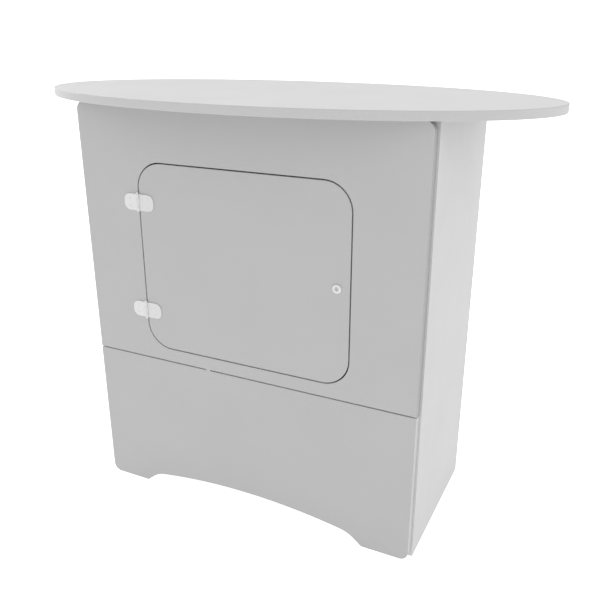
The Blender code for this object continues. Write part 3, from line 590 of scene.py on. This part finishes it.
def make_hinge_leaf(hinge, part):
    """A moulded leaf: a plate with rounded edges, and its knuckles with the pin's bore through them."""
    name = f"{hinge}_hinge_{part}_leaf"
    low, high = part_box(name)
    half = (high.z - low.z) / 2
    side = 1 if part == "door" else -1
    pins = Vector((AXES["door_hinge"].x, AXES["door_hinge"].y, (low.z + high.z) / 2))
    if side > 0:
        radii, near, far = (0, LEAF_CORNER, LEAF_CORNER, 0), LEAF_ROOT, LEAF_REACH[part]
    else:
        radii, near, far = (LEAF_CORNER, 0, 0, LEAF_CORNER), -LEAF_REACH[part], -LEAF_ROOT
    outline = rounded_box((near, -half), (far, half), radii)
    plate = slab(outline, LEAF_FRONT, LEAF_BACK, LEAF_ROUNDING, KNUCKLE_ROUNDING)

    end, split, beyond = half - SLIVER, KNUCKLE_SPLIT, half + MM
    room = KNUCKLE_GAP / 2
    spans = {1: [(-split + room, split - room)], -1: [(-end, -split - room), (split + room, end)]}
    steps = [("UNION", rod(KNUCKLE_RADIUS, *span, KNUCKLE_ROUNDING)) for span in spans[side]]
    clear = {1: [(-beyond, -split), (split, beyond)], -1: [(-split - room, split + room)]}
    steps += [("DIFFERENCE", rod(KNUCKLE_RADIUS + KNUCKLE_GAP, *span)) for span in clear[side]]
    steps.append(("DIFFERENCE", rod(PIN_BORE, -beyond, beyond)))
    for lift in (-LEAF_SCREW_LIFT, LEAF_SCREW_LIFT):
        place = (side * LEAF_SCREW_REACH, LEAF_FRONT, lift)
        steps.append(("DIFFERENCE", at(screw_seat((0, 1, 0)), place)))
    # the door's leaf takes the darker nylon: painted shade
    finish = "shaded_door_nylon" if side > 0 else "nylon"
    shown(f"{name}_look", at(carved(plate, steps), pins), (finish,), name)


def make_hinge_pin(hinge):
    """A pin with a smooth domed finial on each end, the upper one taller."""
    name = f"{hinge}_hinge_pin"
    low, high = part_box(name)
    turns = [radians(a) for a in (0, 12, 25, 38, 50, 62, 74, 83)]
    ends = []
    for height in (FINIAL_TAIL, FINIAL_HEAD):
        dome = [(KNUCKLE_RADIUS * cos(a), FINIAL_START + SLIVER + height * sin(a)) for a in turns]
        lip = [(PIN_RADIUS, FINIAL_START), (KNUCKLE_RADIUS - KNUCKLE_ROUNDING, FINIAL_START)]
        ends.append(lip + dome + [(0, FINIAL_START + SLIVER + height)])
    profile = [(r, -z) for r, z in reversed(ends[0])] + ends[1]
    shown(f"{name}_look", at(turned(profile), (low + high) / 2), ("nylon",), name)


def cross_recess(size, depth):
    """The tapered cross that a screwdriver fits, down along Z from a little above the head."""
    web = size * RECESS_WEB
    corner = [Vector(p) for p in ((size, -web), (size, web), (web, web))]
    outline = []
    for _ in range(4):
        outline += corner
        corner = [Vector((-p.y, p.x)) for p in corner]
    levels = ((0, -MM), (0, 0), (web * RECESS_TAPER, depth))
    return lofted([[(*p, level) for p in inset(outline, drawn)] for drawn, level in levels])


def threaded(shank, start, end, pitch, crest):
    """The (radius, depth) points of a shank's threads."""
    points = []
    for i in range(int((end - start) / pitch)):
        points += [(shank - crest, start + i * pitch), (shank, start + (i + 0.5) * pitch)]
    return points


def make_screw(name, into, head, finish):
    """A screw as long as its CAD node, with a head, threads, a point and a cross recess."""
    low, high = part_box(name)
    into = Vector(into)
    length = abs((high - low).dot(into))
    radius, shank, share, depth = SCREW_HEADS[head]
    if head == "countersunk":
        crown = [(radius - RIM_DRAWN, 0), (radius, RIM_DEEP), (shank, radius - shank)]
    elif head == "pan":
        turns = [radians(a) for a in PAN_ARCH]
        crown = [(radius * sin(a), PAN_THICK * (1 - cos(a))) for a in turns] + [(shank, PAN_THICK)]
    else:
        crown = [(radius - drawn, drop) for drawn, drop in quarter(CHEESE_ROUNDING)]
        crown += [(radius, CHEESE_THICK), (shank, CHEESE_THICK)]
    start = crown[-1][1] + MM
    point = length - shank
    pitch = SCREW_PITCH * shank / SCREW_SHANK
    threads = threaded(shank, start, point, pitch, SCREW_CREST)
    profile = [(0, 0)] + crown + [(shank, start - pitch / 2)] + threads
    profile += [(shank - SCREW_CREST, point), (0, length)]
    recess = cross_recess(radius * share, depth)
    build = carved(turned(profile, SCREW_SIDES), [("DIFFERENCE", recess)])
    middle = (low + high) / 2
    shown(f"{name}_look", at(pointed(build, into), middle - into * length / 2), (finish,), name)


def make_lock_body(axis, inward):
    """The lock's rim and threaded barrel, in one turned ring."""
    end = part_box("lock_body")[1].y - axis.y
    mouth = [(PLUG_BORE + wider, RIM_FRONT + behind) for wider, behind in MOUTH]
    rim = [(RIM_RADIUS - drawn, RIM_FRONT + drop) for drawn, drop in quarter(RIM_ROUNDING, 6)]
    rim += [(RIM_RADIUS, RIM_BACK - FINE_EDGE), (RIM_RADIUS - FINE_EDGE, RIM_BACK)]
    neck = [(BARREL_RADIUS, RIM_BACK), (BARREL_RADIUS, THREAD_START - THREAD_PITCH / 2)]
    threads = threaded(BARREL_RADIUS, THREAD_START, end - MM, THREAD_PITCH, THREAD_DEPTH)
    tail = [(BARREL_RADIUS - THREAD_DEPTH, end - BARREL_CHAMFER)]
    tail.append((BARREL_RADIUS - 2 * THREAD_DEPTH, end))
    profile = mouth + rim + neck + threads + tail + [(PLUG_BORE, end)]
    build = pointed(turned(profile, LOCK_SIDES), inward)
    shown("lock_body_look", at(build, axis), ("lock",), "lock_body")


def make_lock_plug(axis, inward):
    """The turning plug, with its keyway in front and a square tang, bored for the cam's screw."""
    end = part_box("lock_plug")[1].y - axis.y
    back, half = end - TANG_LENGTH, TANG_SIDE / 2
    near = PLUG_EDGE / 4
    face = [(PLUG_RADIUS - PLUG_EDGE, PLUG_FRONT), (PLUG_RADIUS - near, PLUG_FRONT + near)]
    side = [(PLUG_RADIUS, PLUG_FRONT + PLUG_EDGE), (PLUG_RADIUS, back)]
    plug = turned([(0, PLUG_FRONT)] + face + side + [(0, back)])
    square = rounded_box((-half, -half), (half, half), (PLUG_EDGE,) * 4, 3)
    tang = slab(square, back - TANG_LENGTH, end, 0, FINE_EDGE)
    wide, tall, deep = KEYWAY
    slot = rounded_box((-wide / 2, -tall / 2), (wide / 2, tall / 2), (KEYWAY_CORNER,) * 4, 3)
    keyway = slab(slot, PLUG_FRONT - MM, PLUG_FRONT + deep)
    bore = rod(SCREW_SHANK + SEAT_ROOM, end - CAM_BORE_DEPTH, end + MM, sides=HOLE_SIDES)
    steps = [("UNION", tang), ("DIFFERENCE", keyway), ("DIFFERENCE", pointed(bore, inward))]
    build = carved(pointed(plug, inward), steps)
    # the plug takes the darker plating: painted shade
    shown("lock_plug_look", at(build, axis), ("plug",), "lock_plug")


def make_lock_nut(axis, inward):
    """The hexagon nut behind the door, chamfered on its outer side."""
    low, high = (corner.y - axis.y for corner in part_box("lock_nut"))
    corner_radius = NUT_FLATS / 2 / cos(radians(30))
    flats = slab(outline_arc((0, 0), corner_radius, 0, 300, 5), low, high)
    wide = corner_radius + MM
    chamfer = [(wide, high - (wide - NUT_CROWN) * NUT_SLOPE), (NUT_CROWN - MM / NUT_SLOPE, high + MM)]
    cone = turned([(0, low - MM), (wide, low - MM)] + chamfer + [(0, high + MM)], LOCK_SIDES)
    bore = rod(BARREL_RADIUS + SEAT_ROOM, low - MM, high + MM, sides=LOCK_SIDES)
    steps = [("INTERSECT", pointed(cone, inward)), ("DIFFERENCE", pointed(bore, inward))]
    shown("lock_nut_look", at(carved(flats, steps), axis), ("steel",), "lock_nut")


def make_lock_cam(axis):
    """The cam: a plate with a round hub and tip, pierced for the plug's tang."""
    low, high = (corner.y - axis.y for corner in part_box("lock_cam"))
    outline = outline_arc((0, CAM_REACH - CAM_TIP), CAM_TIP, 0, 180, 12)
    outline += outline_arc((0, 0), CAM_HUB, 180, 360, 24)
    half = TANG_SIDE / 2 + SEAT_ROOM
    hole = slab(rounded_box((-half, -half), (half, half), (0,) * 4), low - MM, high + MM)
    cam = carved(slab(outline, low, high, CAM_EDGE, CAM_EDGE), [("DIFFERENCE", hole)])
    shown("lock_cam_look", at(cam, axis), ("steel",), "lock_cam")


def make_lock():
    axis, inward = AXES["lock_turn"], (0, 1, 0)
    make_lock_body(axis, inward)
    make_lock_plug(axis, inward)
    make_lock_nut(axis, inward)
    make_lock_cam(axis)
    make_screw("cam_screw", (0, -1, 0), "cheese", "steel")


def make_strike():
    """The strike plate, with rounded corners and its two countersunk seats."""
    low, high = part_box("strike_plate")
    outline = rounded_box((low.x, low.z), (high.x, high.z), (STRIKE_CORNER,) * 4)
    steps = []
    for name in ("strike_screw_upper", "strike_screw_lower"):
        screw_low, screw_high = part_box(name)
        middle = (screw_low + screw_high) / 2
        steps.append(("DIFFERENCE", at(screw_seat((0, -1, 0)), (middle.x, high.y, middle.z))))
        make_screw(name, (0, -1, 0), "countersunk", "steel")
    plate = carved(slab(outline, low.y, high.y, FINE_EDGE, STRIKE_EDGE), steps)
    shown("strike_plate_look", plate, ("steel",), "strike_plate")


def make_shelf_pin(name):
    """A shelf pin: a peg with rounded ends and a fine groove where it meets the board."""
    low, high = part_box(name)
    radius, half = (high.z - low.z) / 2, (high.x - low.x) / 2
    near = [(radius, -PEG_LIP), (radius - PEG_GROOVE, -PEG_FLOOR)]
    groove = near + [(r, -z) for r, z in reversed(near)]
    ends = [(radius - drawn, -half + rise) for drawn, rise in quarter(PEG_ROUNDING)]
    profile = [(0, -half)] + ends + groove + [(r, -z) for r, z in reversed(ends)] + [(0, half)]
    build = pointed(turned(profile, SCREW_SIDES), (1, 0, 0))
    shown(f"{name}_look", at(build, (low + high) / 2), ("steel",), name)


def make_fittings():
    for hinge in ("upper", "lower"):
        for part in ("frame", "door"):
            make_hinge_leaf(hinge, part)
            for end in ("top", "bottom"):
                make_screw(f"{hinge}_hinge_{part}_screw_{end}", (0, 1, 0), "countersunk", "nylon")
        make_hinge_pin(hinge)
    make_lock()
    make_strike()
    for name in NODES:
        if name.startswith("top_screw"):
            make_screw(name, (0, 0, 1), "pan", "steel")
        elif name.startswith("shelf_pin"):
            make_shelf_pin(name)
        elif name.startswith("seam"):
            softened(name, ("spacer",), TAB_EDGE)


def make_camera():
    camera = bpy.data.cameras.new("camera")
    camera.sensor_fit = "HORIZONTAL"
    camera.angle = radians(CAMERA_VIEW)
    holder = bpy.data.objects.new("camera", camera)
    holder.location = CAMERA_PLACE
    holder.rotation_euler = (radians(90 - CAMERA_DOWN), 0, radians(CAMERA_TURN))
    bpy.context.scene.collection.objects.link(holder)
    bpy.context.scene.camera = holder


def make_studio():
    """A pale floor that glows a little, an even surround, and a soft light from each side behind."""
    scene = bpy.context.scene
    scene.view_settings.view_transform = "Standard"
    world = bpy.data.worlds.new("surround")
    scene.world = world
    world.use_nodes = True
    tree = world.node_tree
    background = tree.nodes["Background"]
    seen = tree.nodes.new("ShaderNodeLightPath").outputs["Is Camera Ray"]
    upward = tree.nodes.new("ShaderNodeTexCoord").outputs["Generated"]
    upward = add_node(tree, "SeparateXYZ", Vector=upward).outputs["Z"]
    overhead = ranged(tree, upward, 0.0, 1.0, HORIZON_LIGHT, ZENITH_LIGHT)
    tree.links.new(blended_by(tree, seen, overhead, BACKDROP), background.inputs["Strength"])
    background.inputs["Color"].default_value = (1, 1, 1, 1)

    mesh = bpy.data.meshes.new("studio_floor")
    corners = [(x * FLOOR_REACH, y * FLOOR_REACH, 0) for x, y in ((-1, -1), (1, -1), (1, 1), (-1, 1))]
    mesh.from_pydata(corners, [], [(0, 1, 2, 3)])
    floor = bpy.data.objects.new("studio_floor", mesh)
    scene.collection.objects.link(floor)
    made, tree, shader, _ = new_material("studio_floor")
    shader.inputs["Base Color"].default_value = (*grey(FLOOR_TONE), 1)
    shader.inputs["Roughness"].default_value = 0.9
    shader.inputs["Emission Color"].default_value = (1, 1, 1, 1)
    seen = tree.nodes.new("ShaderNodeLightPath").outputs["Is Camera Ray"]
    tree.links.new(blended_by(tree, seen, FLOOR_GLOW, FLOOR_SEEN), shader.inputs["Emission Strength"])
    mesh.materials.append(made)

    for name, (direction, strength, angle) in SOFT_LIGHTS.items():
        light = bpy.data.lights.new(name, "SUN")
        light.energy = strength
        light.angle = radians(angle)
        holder = bpy.data.objects.new(name, light)
        holder.rotation_mode = "QUATERNION"
        holder.rotation_quaternion = Vector(direction).to_track_quat("Z", "Y")
        scene.collection.objects.link(holder)


make_camera()
make_studio()
make_boards()
make_fittings()
